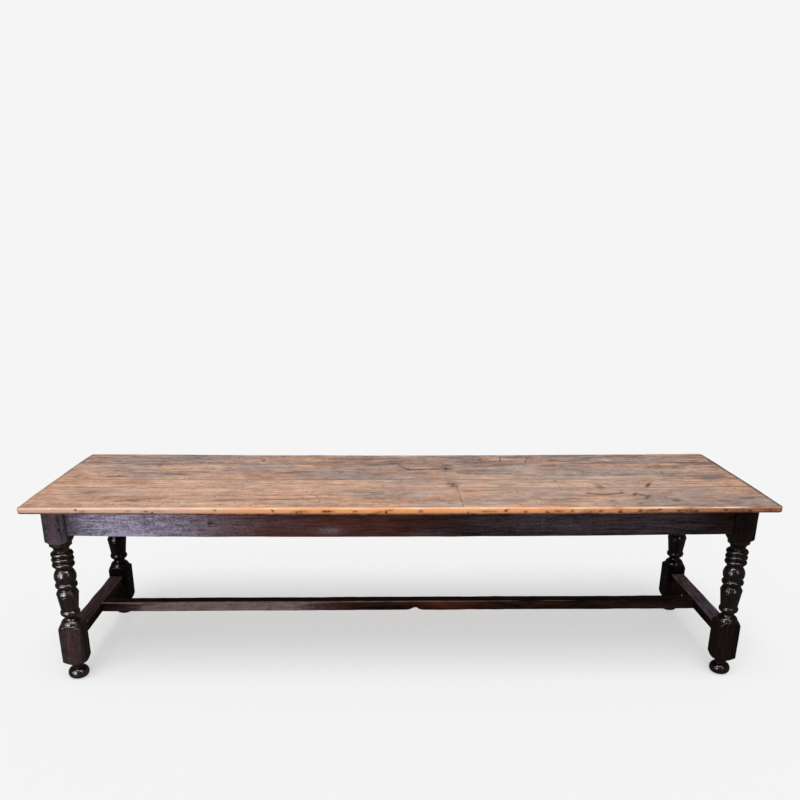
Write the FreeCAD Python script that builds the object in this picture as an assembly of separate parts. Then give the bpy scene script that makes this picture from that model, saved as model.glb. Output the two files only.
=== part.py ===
import FreeCAD
import Part
import math
import os

# A long plank-topped table on four turned legs, joined with pegged mortises and tenons.
# The origin is on the floor under the middle. X runs along the table, the front faces -Y, Z is up.

# Planks of the top, front to back
table_length = 2860.0
table_height = 754.0
plank_thick = 24.0
front_plank_width = 267.5
inner_front_plank_width = 125.0
inner_back_plank_width = 260.0
back_plank_width = 172.5
plank_gap = 0.4
top_corner_radius = 18.0
top_edge_radius = 5.0
end_overhang = 62.0
side_overhang = 59.5

# Legs: two square blocks on each, turned between them and below
leg_block = 85.0
upper_block_height = 129.0
lower_block_height = 142.0

# Foot below the lower block: heights, then depths of cut from the block's face
bun_height = 45.0
foot_neck_height = 12.0
foot_shoulder_height = 27.0
sole_depth = 18.0
bun_depth = 4.2
foot_neck_depth = 20.5

# Turned shaft from the lower block up: heights, stretched together to fill the shaft
low_shoulder_height = 15.0
base_bead_height = 16.0
low_neck_height = 21.0
low_bead_height = 22.0
cup_height = 74.0
cup_lip_height = 11.0
cup_cove_height = 12.0
collar_height = 20.5
fillet_height = 5.0
ball_height = 51.0
ball_neck_height = 10.5
ring_height = 19.0
ring_groove_height = 3.0
top_step_height = 2.0
top_neck_height = 9.0
top_cove_height = 17.0
top_band_height = 11.0
top_shoulder_height = 15.0

# Depths of cut of the shaft, from the block's face
turning_shave = 0.2
low_shoulder_depth = 1.0
base_bead_depth = 3.5
base_bead_top_depth = 10.0
low_neck_depth = 18.2
low_bead_foot_depth = 9.5
low_bead_depth = 4.6
cup_cove_depth = 11.0
fillet_depth = 6.0
ball_depth = 0.6
ball_neck_depth = 12.5
ring_groove_depth = 7.5
top_neck_depth = 13.0
top_cove_depth = 9.6

# The turning is drawn with flats, so that the four legs stay light
turning_sides = 18
round_steps = 4
ball_steps = 6

# Aprons, flush with the underside of the planks
apron_height = 110.0
apron_thick = 26.0
apron_setback = 12.0
apron_edge_radius = 2.0
apron_tenon_thick = 10.0
apron_tenon_length = 50.0
apron_tenon_shoulder = 10.0
haunch_height = 25.0
haunch_length = 12.0

# Stretchers in an H near the floor
stretcher_floor_gap = 153.0
stretcher_height = 44.0
stretcher_edge_radius = 3.0
centre_stretcher_width = 50.0
end_stretcher_width = 60.0
end_stretcher_setback = 2.0
end_tenon_thick = 16.0
end_tenon_height = 32.0
end_tenon_length = 55.0
centre_tenon_thick = 16.0
centre_tenon_width = 34.0
centre_tenon_length = 38.0

# Cross bearers under the planks, lapped into the long aprons
bearer_spacing = 640.0
bearer_width = 60.0
bearer_height = 40.0
bearer_lap = 14.0
bearer_lap_height = 20.0

# Pegs
frame_peg_width = 9.0
apron_peg_length = 45.0
apron_peg_from_shoulder = 24.0
apron_peg_spread = 40.0
end_peg_length = 70.0
end_peg_from_shoulder = 25.0
centre_peg_length = 36.0
centre_peg_from_shoulder = 16.0
top_peg_width = 10.0
top_peg_grip = 28.0
top_peg_sink = 0.3
seam_peg_inset = 20.0

# Fits
tenon_clearance = 0.25
tenon_end_clearance = 2.0
peg_clearance = 0.1
peg_end_clearance = 0.5

# Derived places
underside = table_height - plank_thick
plank_widths = (front_plank_width, inner_front_plank_width, inner_back_plank_width, back_plank_width)
table_depth = sum(plank_widths)
leg_x = table_length / 2 - end_overhang
leg_y = table_depth / 2 - side_overhang
inner_x = leg_x - leg_block
inner_y = leg_y - leg_block
half_block = leg_block / 2
apron_bottom = underside - apron_height
apron_x = leg_x - apron_setback - apron_thick / 2
apron_y = leg_y - apron_setback - apron_thick / 2
stretcher_top = stretcher_floor_gap + stretcher_height
stretcher_mid = stretcher_floor_gap + stretcher_height / 2
end_stretcher_x = leg_x - end_stretcher_setback - end_stretcher_width / 2
centre_shoulder = end_stretcher_x - end_stretcher_width / 2
sides = (-1, 1)
end_names = {-1: "left", 1: "right"}
side_names = {-1: "front", 1: "back"}

pieces = {}
cutters = {}


def span_box(x, y, z):
    # A box between two limits on each axis, in either order
    low = FreeCAD.Vector(min(x), min(y), min(z))
    size = [max(limits) - min(limits) for limits in (x, y, z)]
    return Part.makeBox(size[0], size[1], size[2], low)


def about(middle, size):
    return (middle - size / 2, middle + size / 2)


def round_edges(solid, direction, radius, keep=lambda middle: True):
    # Rounds the edges that run along one direction
    chosen = []
    for edge in solid.Edges:
        way = edge.tangentAt(edge.FirstParameter)
        if abs(way.dot(direction)) > 0.99 and keep(edge.CenterOfMass):
            chosen.append(edge)
    return solid.makeFillet(radius, chosen)


def peg(start, way, length, width):
    # A riven square peg, driven from its start along one of the axes
    end = start + way * length
    limits = []
    for first, last, part in zip(tuple(start), tuple(end), tuple(way)):
        limits.append((first, last) if abs(part) > 0.5 else about(first, width))
    return span_box(limits[0], limits[1], limits[2])


def peg_hole(start, way, length, width):
    # Starts a little outside the face that the peg is driven into
    depth = length + width + peg_end_clearance
    return peg(start - way * width, way, depth, width + 2 * peg_clearance)


def cut_later(name, cutter):
    # Mortises, housings and holes are gathered, and taken out of each piece together
    cutters.setdefault(name, []).append(cutter)


def drill(names, holes):
    for name in names:
        for hole in holes:
            if hole.BoundBox.intersect(pieces[name].BoundBox):
                cut_later(name, hole)


# Members of the shaft from the bottom up: a height, the depth at the top, and the depth of a round's crown
corner_depth = half_block - half_block * math.sqrt(2) / math.cos(math.pi / turning_sides) - turning_shave
ring = (ring_height, ring_groove_depth, turning_shave)
ring_groove = (ring_groove_height, ring_groove_depth, None)
shaft = [
    (low_shoulder_height, low_shoulder_depth, None),
    (base_bead_height, base_bead_top_depth, base_bead_depth),
    (low_neck_height, low_bead_foot_depth, low_neck_depth),
    (low_bead_height, low_bead_foot_depth, low_bead_depth),
    (cup_height, turning_shave, None),
    (cup_lip_height, fillet_depth, None),
    (cup_cove_height, fillet_depth, cup_cove_depth),
    (collar_height, fillet_depth, turning_shave),
    (fillet_height, fillet_depth, None),
    (ball_height, ball_neck_depth, ball_depth),
    (ball_neck_height, ring_groove_depth, None),
    ring,
    ring_groove,
    ring,
    ring_groove,
    ring,
    (top_step_height, top_neck_depth, None),
    (top_neck_height, top_neck_depth, None),
    (top_cove_height, turning_shave, top_cove_depth),
    (top_band_height, turning_shave, None),
    (top_shoulder_height, corner_depth, None),
]


class Outline:
    # Half of the leg's section as points from the sole up, at depths in from the block's face
    def __init__(self, depth):
        self.points = [FreeCAD.Vector(half_block - depth, 0, 0)]

    def add(self, height, depth, crown_depth=None, steps=round_steps):
        # A straight cut, or an arc through a crown at half its height, followed in a few steps
        start = self.points[-1]
        end = FreeCAD.Vector(half_block - depth, 0, start.z + height)
        if crown_depth is None:
            self.points.append(end)
        else:
            crown = FreeCAD.Vector(half_block - crown_depth, 0, start.z + height / 2)
            arc = Part.Arc(start, crown, end).toShape()
            self.points += arc.discretize(steps + 1)[1:]

    def spin(self):
        # A level ring of corners at each point, with flat facets between the rings
        turns = [(side + 0.5) / turning_sides * 2 * math.pi for side in range(turning_sides + 1)]
        rings = []
        for point in self.points:
            corners = [(point.x * math.cos(turn), point.x * math.sin(turn), point.z) for turn in turns]
            rings.append([FreeCAD.Vector(corner) for corner in corners])
        outlines = [rings[0], rings[-1]]
        for low, high in zip(rings, rings[1:]):
            for side in range(turning_sides):
                outlines.append([low[side], low[side + 1], high[side + 1], high[side], low[side]])
        shell = Part.makeShell([Part.Face(Part.makePolygon(corners)) for corners in outlines])
        shell.sewShape()
        return Part.makeSolid(shell)


def turned_leg():
    # The outline turned about the leg's axis and kept inside the square blank
    foot_height = bun_height + foot_neck_height + foot_shoulder_height
    shaft_height = underside - upper_block_height - lower_block_height - foot_height
    stretch = shaft_height / sum(member[0] for member in shaft)

    outline = Outline(sole_depth)
    outline.add(bun_height, foot_neck_depth, bun_depth, ball_steps)
    outline.add(foot_neck_height, foot_neck_depth)
    outline.add(foot_shoulder_height, corner_depth)
    outline.add(lower_block_height, corner_depth)
    for height, depth, crown_depth in shaft:
        outline.add(height * stretch, depth, crown_depth)
    outline.add(upper_block_height, corner_depth)
    blank = span_box(about(0, leg_block), about(0, leg_block), (0, underside))
    return outline.spin().common(blank)


leg_blank = turned_leg()
leg_names = {}
for sx in sides:
    for sy in sides:
        name = "leg_" + side_names[sy] + "_" + end_names[sx]
        leg_names[sx, sy] = name
        leg = leg_blank.copy()
        leg.translate(FreeCAD.Vector(sx * (leg_x - half_block), sy * (leg_y - half_block), 0))
        pieces[name] = leg


def apron_tenon(direction, shoulder, centre, clearance, end_clearance):
    # A haunched tenon, or its mortise when clearances are given, along X or Y
    low = apron_bottom + apron_tenon_shoulder - clearance
    thick = about(centre, apron_tenon_thick + 2 * clearance)
    parts = []
    for length, bottom, top in (
        (apron_tenon_length, low, underside - haunch_height + clearance),
        (haunch_length, underside - haunch_height, underside),
    ):
        way = math.copysign(length + end_clearance, shoulder)
        along = (shoulder, shoulder + way)
        if direction == "x":
            parts.append(span_box(along, thick, (bottom, top)))
        else:
            parts.append(span_box(thick, along, (bottom, top)))
    return parts[0].fuse(parts[1])


x_way = FreeCAD.Vector(1, 0, 0)
y_way = FreeCAD.Vector(0, 1, 0)
z_way = FreeCAD.Vector(0, 0, 1)


def low_edge(middle):
    return middle.z < apron_bottom + apron_edge_radius


# Long aprons, front and back
for sy in sides:
    name = "apron_" + side_names[sy]
    board = span_box((-inner_x, inner_x), about(sy * apron_y, apron_thick), (apron_bottom, underside))
    board = round_edges(board, x_way, apron_edge_radius, low_edge)
    for sx in sides:
        board = board.fuse(apron_tenon("x", sx * inner_x, sy * apron_y, 0.0, 0.0))
        mortise = apron_tenon("x", sx * inner_x, sy * apron_y, tenon_clearance, tenon_end_clearance)
        cut_later(leg_names[sx, sy], mortise)
    pieces[name] = board.removeSplitter()

# Short aprons at the ends
for sx in sides:
    name = "apron_" + end_names[sx]
    board = span_box(about(sx * apron_x, apron_thick), (-inner_y, inner_y), (apron_bottom, underside))
    board = round_edges(board, y_way, apron_edge_radius, low_edge)
    for sy in sides:
        board = board.fuse(apron_tenon("y", sy * inner_y, sx * apron_x, 0.0, 0.0))
        mortise = apron_tenon("y", sy * inner_y, sx * apron_x, tenon_clearance, tenon_end_clearance)
        cut_later(leg_names[sx, sy], mortise)
    pieces[name] = board.removeSplitter()

# Stretchers: two at the ends between the lower blocks, one along the middle between those
stretcher_z = (stretcher_floor_gap, stretcher_top)
for sx in sides:
    name = "end_stretcher_" + end_names[sx]
    rail = span_box(about(sx * end_stretcher_x, end_stretcher_width), (-inner_y, inner_y), stretcher_z)
    rail = round_edges(rail, y_way, stretcher_edge_radius)
    for sy in sides:
        for clearance, end_clearance in ((0.0, 0.0), (tenon_clearance, tenon_end_clearance)):
            tenon = span_box(
                about(sx * end_stretcher_x, end_tenon_thick + 2 * clearance),
                (sy * inner_y, sy * (inner_y + end_tenon_length + end_clearance)),
                about(stretcher_mid, end_tenon_height + 2 * clearance),
            )
            if clearance:
                cut_later(leg_names[sx, sy], tenon)
            else:
                rail = rail.fuse(tenon)
    pieces[name] = rail.removeSplitter()

rail = span_box((-centre_shoulder, centre_shoulder), about(0, centre_stretcher_width), stretcher_z)
rail = round_edges(rail, x_way, stretcher_edge_radius)
for sx in sides:
    for clearance, end_clearance in ((0.0, 0.0), (tenon_clearance, tenon_end_clearance)):
        tenon = span_box(
            (sx * centre_shoulder, sx * (centre_shoulder + centre_tenon_length + end_clearance)),
            about(0, centre_tenon_width + 2 * clearance),
            about(stretcher_mid, centre_tenon_thick + 2 * clearance),
        )
        if clearance:
            cut_later("end_stretcher_" + end_names[sx], tenon)
        else:
            rail = rail.fuse(tenon)
pieces["centre_stretcher"] = rail.removeSplitter()

# Cross bearers, with half-lapped ends let into the long aprons from above
apron_inner = apron_y - apron_thick / 2
bearer_x = {"left": -bearer_spacing, "middle": 0.0, "right": bearer_spacing}
for place, x in bearer_x.items():
    width = about(x, bearer_width)
    bearer = span_box(width, (-apron_inner, apron_inner), (underside - bearer_height, underside))
    reach = apron_inner + bearer_lap
    lap = span_box(width, (-reach, reach), (underside - bearer_lap_height, underside))
    pieces["bearer_" + place] = bearer.fuse(lap).removeSplitter()
    for sy in sides:
        housing = span_box(
            about(x, bearer_width + 2 * tenon_clearance),
            (sy * (apron_inner - bearer_lap), sy * (reach + tenon_end_clearance)),
            (underside - bearer_lap_height, underside + bearer_lap_height),
        )
        cut_later("apron_" + side_names[sy], housing)

# Plank top: one slab with rounded corners and worn edges, divided along its length
slab = span_box(about(0, table_length), about(0, table_depth), (underside, table_height))
slab = round_edges(slab, z_way, top_corner_radius)
upper_rim = [edge for edge in slab.Edges if edge.BoundBox.ZMin > table_height - 1e-3]
slab = slab.makeFillet(top_edge_radius, upper_rim)
plank_names = ("top_board_front", "top_board_inner_front", "top_board_inner_back", "top_board_back")
seams = [-table_depth / 2]
for width in plank_widths:
    seams.append(seams[-1] + width)
for number, name in enumerate(plank_names):
    front = seams[number]
    back = seams[number + 1]
    if number > 0:
        front += plank_gap / 2
    if number < len(plank_names) - 1:
        back -= plank_gap / 2
    pieces[name] = slab.common(span_box(about(0, table_length), (front, back), (underside, table_height)))

# Apron pegs: a pair through each tenon, driven in from the leg's outer faces
apron_names = ["apron_front", "apron_back", "apron_left", "apron_right"]
tenon_mid = (apron_bottom + apron_tenon_shoulder + underside - haunch_height) / 2
pegs = []
holes = []
for sx in sides:
    for sy in sides:
        for z in (tenon_mid - apron_peg_spread / 2, tenon_mid + apron_peg_spread / 2):
            long_start = FreeCAD.Vector(sx * (inner_x + apron_peg_from_shoulder), sy * leg_y, z)
            short_start = FreeCAD.Vector(sx * leg_x, sy * (inner_y + apron_peg_from_shoulder), z)
            for start, way in ((long_start, y_way * -sy), (short_start, x_way * -sx)):
                pegs.append(peg(start, way, apron_peg_length, frame_peg_width))
                holes.append(peg_hole(start, way, apron_peg_length, frame_peg_width))
drill(list(leg_names.values()) + apron_names, holes)
pieces["apron_pegs"] = Part.makeCompound(pegs)

# End stretcher pegs, driven in from the inner faces of the lower blocks
end_stretchers = ["end_stretcher_left", "end_stretcher_right"]
pegs = []
holes = []
for sx in sides:
    for sy in sides:
        start = FreeCAD.Vector(sx * inner_x, sy * (inner_y + end_peg_from_shoulder), stretcher_mid)
        pegs.append(peg(start, x_way * sx, end_peg_length, frame_peg_width))
        holes.append(peg_hole(start, x_way * sx, end_peg_length, frame_peg_width))
drill(list(leg_names.values()) + end_stretchers, holes)
pieces["end_stretcher_pegs"] = Part.makeCompound(pegs)

# Centre stretcher pegs, driven down through the end stretchers
pegs = []
holes = []
for sx in sides:
    start = FreeCAD.Vector(sx * (centre_shoulder + centre_peg_from_shoulder), 0, stretcher_top)
    pegs.append(peg(start, z_way * -1, centre_peg_length, frame_peg_width))
    holes.append(peg_hole(start, z_way * -1, centre_peg_length, frame_peg_width))
drill(end_stretchers + ["centre_stretcher"], holes)
pieces["centre_stretcher_pegs"] = Part.makeCompound(pegs)

# Top pegs: beside each seam into the bearers and end aprons, and along the long aprons
places = []
for x in list(bearer_x.values()) + [-apron_x, apron_x]:
    for seam in seams[1:-1]:
        places.append((x, seam - seam_peg_inset))
        places.append((x, seam + seam_peg_inset))
for sy in sides:
    for step in (-1.5, -0.5, 0.5, 1.5):
        places.append((step * bearer_spacing, sy * apron_y))
pegs = []
holes = []
top_peg_length = plank_thick - top_peg_sink + top_peg_grip
for x, y in places:
    start = FreeCAD.Vector(x, y, table_height - top_peg_sink)
    pegs.append(peg(start, z_way * -1, top_peg_length, top_peg_width))
    holes.append(peg_hole(start, z_way * -1, top_peg_length, top_peg_width))
bearer_names = ["bearer_" + place for place in bearer_x]
drill(list(plank_names) + apron_names + bearer_names + list(leg_names.values()), holes)
pieces["top_pegs"] = Part.makeCompound(pegs)

for name, tools in cutters.items():
    pieces[name] = pieces[name].cut(tools)

os.makedirs("parts", exist_ok=True)
for name, shape in pieces.items():
    shape.exportStep("parts/" + name + ".step")
    print(name, len(shape.Solids), round(shape.Volume / 1000.0, 1))
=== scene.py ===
import math
import bpy
import numpy as np
from mathutils import Matrix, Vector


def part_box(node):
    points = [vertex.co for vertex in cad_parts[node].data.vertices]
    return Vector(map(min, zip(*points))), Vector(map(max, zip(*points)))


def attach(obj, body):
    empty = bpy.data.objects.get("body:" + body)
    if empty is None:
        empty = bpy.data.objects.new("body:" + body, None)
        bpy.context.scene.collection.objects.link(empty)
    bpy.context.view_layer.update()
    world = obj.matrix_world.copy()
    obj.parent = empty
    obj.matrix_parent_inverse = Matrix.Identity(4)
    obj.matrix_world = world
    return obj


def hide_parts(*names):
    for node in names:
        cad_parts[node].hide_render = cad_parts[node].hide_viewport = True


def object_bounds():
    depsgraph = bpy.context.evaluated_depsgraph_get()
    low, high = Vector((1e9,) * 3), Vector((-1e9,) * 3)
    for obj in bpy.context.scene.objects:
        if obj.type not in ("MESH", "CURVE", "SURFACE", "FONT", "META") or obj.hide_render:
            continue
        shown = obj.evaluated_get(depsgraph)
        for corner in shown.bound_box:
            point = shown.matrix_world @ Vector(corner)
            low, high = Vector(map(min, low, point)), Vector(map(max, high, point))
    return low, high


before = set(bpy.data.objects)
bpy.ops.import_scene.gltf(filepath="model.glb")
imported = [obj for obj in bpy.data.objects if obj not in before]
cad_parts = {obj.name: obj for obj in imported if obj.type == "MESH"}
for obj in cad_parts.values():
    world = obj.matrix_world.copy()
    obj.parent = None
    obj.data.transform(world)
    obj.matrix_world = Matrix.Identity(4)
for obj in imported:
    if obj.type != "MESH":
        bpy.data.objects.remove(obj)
cadLow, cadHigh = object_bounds()
scene = bpy.context.scene
scene.view_settings.view_transform = "Standard"
print("frame loaded:", len(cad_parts), "nodes")


# Number helpers

def ease(low, high, value):
    # 0 at low, 1 at high, an S-curve between
    t = np.clip((value - low) / (high - low), 0, 1)
    return t * t * (3 - 2 * t)


def waver(seed, columns, longest):
    # about -1 to 1: a mean of nine sines in seeded directions, with waves up to longest in length
    points = np.column_stack(columns)
    rng = np.random.default_rng(seed)
    ways = rng.normal(size=(9, points.shape[1]))
    ways /= np.linalg.norm(ways, axis=1, keepdims=True)
    turns = 2 * np.pi / (longest * rng.uniform(0.2, 1.0, 9))
    phases = rng.uniform(0, 6.28, 9)
    return 1.9 * np.sin(points @ (ways * turns[:, None]).T + phases).mean(axis=1)


def blots(x, y, places):
    # a sum of bell-shaped spots: each is (x, y, half length, half width, turn, strength)
    spot = np.array(places, float).T[:, None, :]
    spot[:4] /= 1000   # from millimetres
    dx = x[:, None] - spot[0]
    dy = y[:, None] - spot[1]
    turn = np.radians(spot[4])
    u = (dx * np.cos(turn) + dy * np.sin(turn)) / spot[2]
    v = (dy * np.cos(turn) - dx * np.sin(turn)) / spot[3]
    return (np.exp(-(u * u + v * v)) * spot[5]).sum(axis=1)


# Mesh helpers

def lines(low, high, step, reach, extra=()):
    # grid lines from low to high, crowded within reach of both ends, plus extra ones
    near = reach * np.linspace(0, 1, 8) ** 1.5
    count = max(int(round((high - low - 2 * reach) / step)), 1)
    middle = np.linspace(low + reach, high - reach, count + 1)[1:-1]
    found = np.concatenate([low + near, middle, high - near, np.asarray(extra, float)])
    return np.unique(np.round(found, 5))


def gridCells(number, turned=False):
    # the quads of a sheet of numbered points, turned over where the sheet faces the other way
    a, b, c, d = number[:-1, :-1], number[1:, :-1], number[1:, 1:], number[:-1, 1:]
    order = (a, d, c, b) if turned else (a, b, c, d)
    return np.stack(order, axis=-1).reshape(-1, 4)


def boxSkin(xs, ys, zs):
    # the six outer sheets of a lattice of lines, welded along the edges that they share
    count = (len(xs), len(ys), len(zs))
    number = np.arange(np.prod(count)).reshape(count)
    faces = np.concatenate([
        gridCells(number[0], True), gridCells(number[-1]),
        gridCells(number[:, 0]), gridCells(number[:, -1], True),
        gridCells(number[:, :, 0], True), gridCells(number[:, :, -1])])
    used, faces = np.unique(faces, return_inverse=True)
    i, j, k = np.unravel_index(used, count)
    return np.stack([xs[i], ys[j], zs[k]], axis=1), faces.reshape(-1, 4)


def roundEdges(points, low, high, radius):
    # a point moves to the nearest point of the box shrunk by radius, then out by radius the same way
    radius = np.broadcast_to(np.asarray(radius, float), (len(points),))[:, None]
    inner = np.clip(points, low + radius, high - radius)
    away = points - inner
    length = np.linalg.norm(away, axis=1, keepdims=True)
    return inner + away * radius / np.maximum(length, 1e-9)


def edgeNearness(points, low, high, reach):
    # 1 on an arris, 0 further than reach from it: the second smallest distance to a pair of sides
    gap = np.minimum(points - low, high - points)
    second = np.sort(gap, axis=1)[:, 1]
    return 1 - ease(0, reach, second)


def makePiece(name, points, faces, finish, node, marks=None, caps=None):
    # quads and optional triangles as one smooth mesh, with values per point as attributes
    mesh = bpy.data.meshes.new(name)
    caps = np.zeros((0, 3), int) if caps is None else caps
    corners = np.concatenate([faces.ravel(), caps.ravel()])
    starts = np.concatenate([np.arange(len(faces)) * 4, len(faces) * 4 + np.arange(len(caps)) * 3])
    mesh.vertices.add(len(points))
    mesh.vertices.foreach_set("co", np.asarray(points, np.float32).ravel())
    mesh.loops.add(len(corners))
    mesh.loops.foreach_set("vertex_index", corners.astype(np.int32))
    mesh.polygons.add(len(starts))
    mesh.polygons.foreach_set("loop_start", starts.astype(np.int32))
    mesh.polygons.foreach_set("use_smooth", np.ones(len(starts), bool))
    mesh.update(calc_edges=True)
    mesh.validate()
    for key, values in (marks or {}).items():
        layer = mesh.attributes.new(key, "FLOAT", "POINT")
        layer.data.foreach_set("value", np.asarray(values, np.float32))
    mesh.materials.append(finish)
    piece = bpy.data.objects.new(name, mesh)
    scene.collection.objects.link(piece)
    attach(piece, "root")
    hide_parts(node)
    return piece


def nodeBox(node):
    low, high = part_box(node)
    return np.array(low), np.array(high)


# Shader helpers

def tint(red, green, blue):
    # a colour as seen on a screen, 0 to 255, into the linear numbers that a shader takes
    seen = np.array([red, green, blue]) / 255
    linear = np.where(seen <= 0.04045, seen / 12.92, ((seen + 0.055) / 1.055) ** 2.4)
    return (*(float(v) for v in linear), 1.0)


class Wire:
    # one socket of a node tree; sums on it add Math nodes
    def __init__(self, finish, socket):
        self.finish = finish
        self.socket = socket

    def sum(self, operation, first, second):
        return self.finish.add("Math", {0: first, 1: second}, operation=operation)

    def __add__(self, other):
        return self.sum("ADD", self, other)

    __radd__ = __add__

    def __sub__(self, other):
        return self.sum("SUBTRACT", self, other)

    def __rsub__(self, other):
        return self.sum("SUBTRACT", other, self)

    def __mul__(self, other):
        return self.sum("MULTIPLY", self, other)

    __rmul__ = __mul__

    def __abs__(self):
        return self.sum("ABSOLUTE", self, 0)


class Finish:
    # a node tree and the few kinds of node that the woods share
    def __init__(self, tree):
        self.tree = tree
        tree.nodes.clear()

    def add(self, kind, sockets=None, out=0, **settings):
        # one node: settings first, then the values or links of its sockets; several outs give a list
        node = self.tree.nodes.new("ShaderNode" + kind)
        for key, value in settings.items():
            if key == "stops":
                ramp = node.color_ramp.elements
                while len(ramp) < len(value):
                    ramp.new(0.5)
                for stop, (place, colour) in zip(ramp, value):
                    stop.position = place
                    stop.color = colour
            else:
                setattr(node, key, value)
        for key, value in (sockets or {}).items():
            if isinstance(value, Wire):
                self.tree.links.new(value.socket, node.inputs[key])
            else:
                node.inputs[key].default_value = value
        if isinstance(out, tuple):
            return [Wire(self, node.outputs[key]) for key in out]
        return Wire(self, node.outputs[out])

    def place(self):
        return self.add("TexCoord", out="Object")

    def axes(self, vector):
        return self.add("SeparateXYZ", {0: vector}, (0, 1, 2))

    def joined(self, x, y, z):
        return self.add("CombineXYZ", {0: x, 1: y, 2: z})

    def stretched(self, vector, scale, shift=(0, 0, 0), turn=0.0):
        # scaled, turned about z by degrees, then shifted
        spin = (0, 0, math.radians(turn))
        return self.add("Mapping", {"Vector": vector, "Scale": scale, "Location": shift, "Rotation": spin})

    def noise(self, vector, scale, detail, rough):
        return self.add("TexNoise", {"Vector": vector, "Scale": scale, "Detail": detail, "Roughness": rough})

    def rise(self, value, low, high, bottom=0.0, top=1.0):
        # bottom at low, top at high, an S-curve between
        sockets = {0: value, 1: low, 2: high, 3: bottom, 4: top}
        return self.add("MapRange", sockets, interpolation_type="SMOOTHSTEP")

    def mix(self, factor, first, second):
        return self.add("Mix", {0: factor, 6: first, 7: second}, 2, data_type="RGBA")

    def ramp(self, value, colours):
        # dark, middle and light colours at a fifth, a half and four fifths
        return self.add("ValToRGB", {0: value}, stops=list(zip((0.2, 0.5, 0.8), colours)))

    def worn(self, key):
        return self.add("Attribute", out="Fac", attribute_name=key)

    def spot(self, place, centre, half, turn):
        # distance from a centre in half lengths, 1 on an ellipse lying in the x y plane
        moved = self.stretched(place, (1, 1, 0), (-centre[0], -centre[1], 0))
        turned = self.stretched(moved, (1, 1, 0), turn=-turn)
        sized = self.stretched(turned, (1 / half[0], 1 / half[1], 0))
        return self.add("VectorMath", {0: sized}, "Value", operation="LENGTH")

    def crack(self, along, across, start, end, width, wobble):
        # 1 on a thin line from start to end, whose width dies away at both ends
        slope = (end[1] - start[1]) / (end[0] - start[0])
        offset = abs(across - (along * slope + (start[1] - slope * start[0])) - wobble)
        length = abs(end[0] - start[0])
        middle = (start[0] + end[0]) / 2
        inside = 1 - self.rise(abs(along - middle), length * 0.3, length * 0.5)
        return (1 - self.rise(offset, width * 0.3, width)) * inside

    def strokes(self, place, turn, scale, keep, seed):
        # scattered short strokes: the cores of long cells in the x y plane, most cells left out
        turned = self.stretched(place, (1, 1, 0), (seed, seed * 0.7, 0), -turn)
        cells = {"Vector": self.stretched(turned, (*scale, 0)), "Scale": 1.0}
        core, colour = self.add("TexVoronoi", cells, ("Distance", "Color"), feature="F1")
        pick = self.axes(colour)[0]
        return (1 - self.rise(core, 0.1, 0.26)) * self.rise(pick, keep, keep + 0.03)

    def surface(self, colour, roughness, height, bump, depth, fixed):
        # bump is the relief's strength, depth its distance; fixed holds the sockets left to set
        normal = self.add("Bump", {"Strength": bump, "Distance": depth, "Height": height})
        sockets = {"Base Color": colour, "Roughness": roughness, "Normal": normal, **fixed}
        shader = self.add("BsdfPrincipled", sockets)
        self.add("OutputMaterial", {"Surface": shader}, ())


def newFinish(name):
    material = bpy.data.materials.new(name)
    material.use_nodes = True
    return material, Finish(material.node_tree)


# Camera, at the height of someone standing in front of the table

view = {
    "place": (-0.0832, -3.219, 1.6588),
    "pitch": 19.4728, "yaw": 1.4, "roll": 0.314,   # degrees down, to the right, and of tilt
    "focalPixels": 794.4, "frame": 800, "axisRow": 530, "sensor": 36,
}


def facing(right, up, back, place):
    # the matrix of a camera or lamp: three directions and a place as columns
    return Matrix(np.vstack([np.column_stack([right, up, back, place]), (0, 0, 0, 1)]).tolist())


def setCamera():
    pitch, yaw, roll = (math.radians(view[key]) for key in ("pitch", "yaw", "roll"))
    level = np.array([math.sin(yaw), math.cos(yaw), 0])
    ahead = level * math.cos(pitch) - np.array([0, 0, math.sin(pitch)])
    right = np.array([math.cos(yaw), -math.sin(yaw), 0])
    up = np.cross(right, ahead)
    tiltRight = right * math.cos(roll) + up * math.sin(roll)
    tiltUp = up * math.cos(roll) - right * math.sin(roll)
    data = bpy.data.cameras.new("viewCamera")
    data.sensor_width = view["sensor"]
    data.sensor_fit = "HORIZONTAL"
    data.lens = view["focalPixels"] * view["sensor"] / view["frame"]
    data.shift_y = (view["axisRow"] - view["frame"] / 2) / view["frame"]
    camera = bpy.data.objects.new("viewCamera", data)
    camera.matrix_world = facing(tiltRight, tiltUp, -ahead, view["place"])
    scene.collection.objects.link(camera)
    scene.camera = camera


setCamera()
print("camera set")


# Floor, room and lamps

studio = {
    "paper": tint(245, 245, 245),
    "room": 0.28,   # soft light from all round
    "glow": 0.6,    # how much of the paper's own white the camera sees
    "floorSize": 60.0, "floorCells": 6, "floorDrop": 0.0003,
    # degrees left of the front, degrees up, light on a level white surface, softness in degrees
    "suns": {"frontSun": (25, 40, 0.06, 40), "topSun": (8, 73, 0.66, 34)},
    # place, target, width and height, brightness against paper white
    "glints": {"windowLeft": ((-2.7, -3.7, 1.3), (-1.2, -0.3, 0.5), (1.4, 3.0), 105),
               "windowSide": ((-2.5, -1.5, 1.4), (1.2, -0.3, 0.5), (0.7, 2.0), 45),
               "windowRight": ((2.0, -2.4, 1.6), (0.2, -0.3, 0.5), (0.5, 1.1), 60),
               "skylight": ((-0.2, -2.2, 4.1), (-0.2, -0.3, 0.4), (5.0, 0.8), 150)},
}
polished = bpy.data.collections.new("polished")   # the legs, which alone show the glints


def shownRays(finish):
    # 1 for rays from the camera and from polished or clear surfaces
    kinds = ("Is Camera Ray", "Is Glossy Ray", "Is Transmission Ray")
    camera, glossy, clear = finish.add("LightPath", out=kinds)
    return finish.rise(camera + glossy + clear, 0.0, 1.0)


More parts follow.
